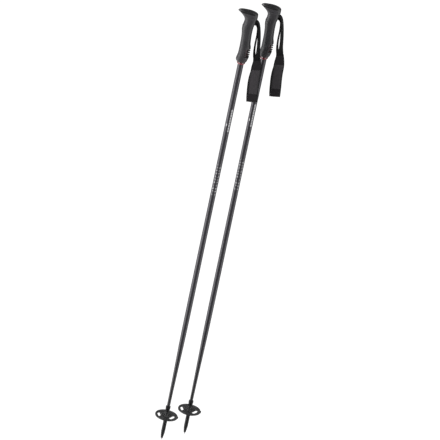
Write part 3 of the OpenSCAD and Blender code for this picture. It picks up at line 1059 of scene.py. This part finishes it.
def make_floor():
    """A wide white floor. It throws no light of its own on the poles: the world does that."""
    bpy.ops.mesh.primitive_plane_add(size=400.0, location=(0, 0, -FLOOR_DROP))
    floor = bpy.context.object
    floor.name = "studio_floor"
    m = Material("studio_floor", Roughness=0.9, Specular_IOR_Level=0.1)
    m.colour(m.mix(m.noise(0.4, detail=1), (0.34, 0.34, 0.34), (0.36, 0.36, 0.36)))
    m.shader.inputs["Emission Color"].default_value = (1, 1, 1, 1)
    m.shader.inputs["Emission Strength"].default_value = 0.82
    floor.data.materials.append(m.made)
    floor.visible_glossy = False
    floor.visible_diffuse = False


def make_world():
    """White to look at. The poles are lit by a tall soft light to each side and weaker ones behind."""
    world = bpy.data.worlds.new("studio")
    bpy.context.scene.world = world
    world.use_nodes = True
    world.cycles.sampling_method = "NONE"
    nodes, links = world.node_tree.nodes, world.node_tree.links
    nodes.clear()

    def maths(operation, *values):
        node = nodes.new("ShaderNodeMath")
        node.operation = operation
        for socket, value in zip(node.inputs, values):
            if isinstance(value, float):
                socket.default_value = value
            else:
                links.new(value, socket)
        return node.outputs[0]

    parts = nodes.new("ShaderNodeSeparateXYZ")
    links.new(nodes.new("ShaderNodeTexCoord").outputs["Generated"], parts.inputs[0])
    # turns from 0 straight behind, through 0.25 at the left, 0.5 in front and 0.75 at the right
    turn = maths("ARCTAN2", parts.outputs["X"], maths("MULTIPLY", parts.outputs["Y"], -1.0))
    turn = maths("ADD", maths("DIVIDE", turn, math.tau), 0.5)

    def band(stops, strength):
        ramp = nodes.new("ShaderNodeValToRGB")
        ramp.color_ramp.interpolation = "B_SPLINE"
        elements = ramp.color_ramp.elements
        while len(elements) < len(stops):
            elements.new(0.5)
        for element, (position, grey) in zip(elements, stops):
            element.position = position
            element.color = (grey, grey, grey, 1)
        links.new(turn, ramp.inputs[0])
        back = nodes.new("ShaderNodeBackground")
        back.inputs["Strength"].default_value = strength
        links.new(ramp.outputs[0], back.inputs["Color"])
        return back.outputs[0]

    glossy = band(GLOSSY_LIGHT, GLOSSY_STRENGTH)
    diffuse = band(DIFFUSE_LIGHT, DIFFUSE_STRENGTH)
    plain = nodes.new("ShaderNodeBackground")
    plain.inputs["Color"].default_value = (1, 1, 1, 1)
    path = nodes.new("ShaderNodeLightPath")
    shaded = nodes.new("ShaderNodeMixShader")
    links.new(path.outputs["Is Glossy Ray"], shaded.inputs[0])
    links.new(diffuse, shaded.inputs[1])
    links.new(glossy, shaded.inputs[2])
    choose = nodes.new("ShaderNodeMixShader")
    links.new(path.outputs["Is Camera Ray"], choose.inputs[0])
    links.new(shaded.outputs[0], choose.inputs[1])
    links.new(plain.outputs[0], choose.inputs[2])
    out = nodes.new("ShaderNodeOutputWorld")
    links.new(choose.outputs[0], out.inputs["Surface"])


# Light round the poles, as (turn, share): 0 behind, 0.25 left, 0.5 in front, 0.75 right
GLOSSY_LIGHT = [(0.0, 0.05), (0.04, 0.13), (0.08, 0.22), (0.12, 0.08), (0.19, 0.0), (0.235, 0.12),
                (0.27, 0.9), (0.305, 1.0), (0.345, 0.6), (0.39, 0.16), (0.44, 0.07), (0.50, 0.05),
                (0.58, 0.06), (0.65, 0.16), (0.69, 0.6), (0.72, 0.6), (0.76, 0.12), (0.81, 0.0),
                (0.88, 0.08), (0.92, 0.22), (0.96, 0.13), (1.0, 0.05)]
GLOSSY_STRENGTH = 5.0
DIFFUSE_LIGHT = [(0.0, 0.7), (0.2, 0.75), (0.31, 1.0), (0.42, 0.75), (0.55, 0.5), (0.7, 0.6),
                 (0.85, 0.6), (1.0, 0.7)]
DIFFUSE_STRENGTH = 0.85


def make_lights():
    """A soft light over the front left, and a weaker one over the front right."""
    target = Vector((0.03, 0.03, 0.7))
    for name, at, size, power in (("key", (-2.6, -2.0, 3.2), 1.6, 70), ("fill", (2.8, -1.4, 2.4), 1.2, 22)):
        data = bpy.data.lights.new(name, "AREA")
        data.size = size
        data.energy = power
        lamp = bpy.data.objects.new(name, data)
        lamp.location = at
        lamp.rotation_euler = (target - Vector(at)).to_track_quat("-Z", "Y").to_euler()
        show(lamp)


# How the camera sees the pair: far off with a long lens, raised, and rolled so that the poles lean
CAMERA_RISE = 27.0
CAMERA_LEAN = 11.95
CAMERA_AWAY = 48.0
VIEW_WIDTH = 1.0785
# From the near spike's end to the middle of the view, in metres on the view's plane
VIEW_RIGHT = 0.1438
VIEW_UP = 0.5378


def make_camera():
    rise, lean = math.radians(CAMERA_RISE), math.radians(CAMERA_LEAN)
    forward = Vector((0, math.cos(rise), -math.sin(rise)))
    level_up = Vector((0, math.sin(rise), math.cos(rise)))
    level_right = Vector((1, 0, 0))
    right = level_right * math.cos(lean) + level_up * math.sin(lean)
    up = level_up * math.cos(lean) - level_right * math.sin(lean)
    data = bpy.data.cameras.new("camera")
    data.sensor_width = 36
    data.lens = data.sensor_width * CAMERA_AWAY / VIEW_WIDTH
    data.clip_end = 200
    camera = bpy.data.objects.new("camera", data)
    at = FOOT["left"] + right * VIEW_RIGHT + up * VIEW_UP - forward * CAMERA_AWAY
    turn = Matrix((right, up, -forward)).transposed().to_4x4()
    camera.matrix_world = Matrix.Translation(at) @ turn
    show(camera)
    bpy.context.scene.camera = camera


bpy.context.scene.view_settings.view_transform = "Standard"
make_camera()
make_world()
make_floor()
make_lights()
make_shaft()
make_ferrule()
make_spike()
make_basket()
make_core()
make_grip()
make_cap()
make_wedge()
for side in SIDES:
    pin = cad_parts[f"{side}_strap_pin"]
    pin.data.materials.clear()
    pin.data.materials.append(STEEL)
make_webbing()
make_pad()
make_stitches()
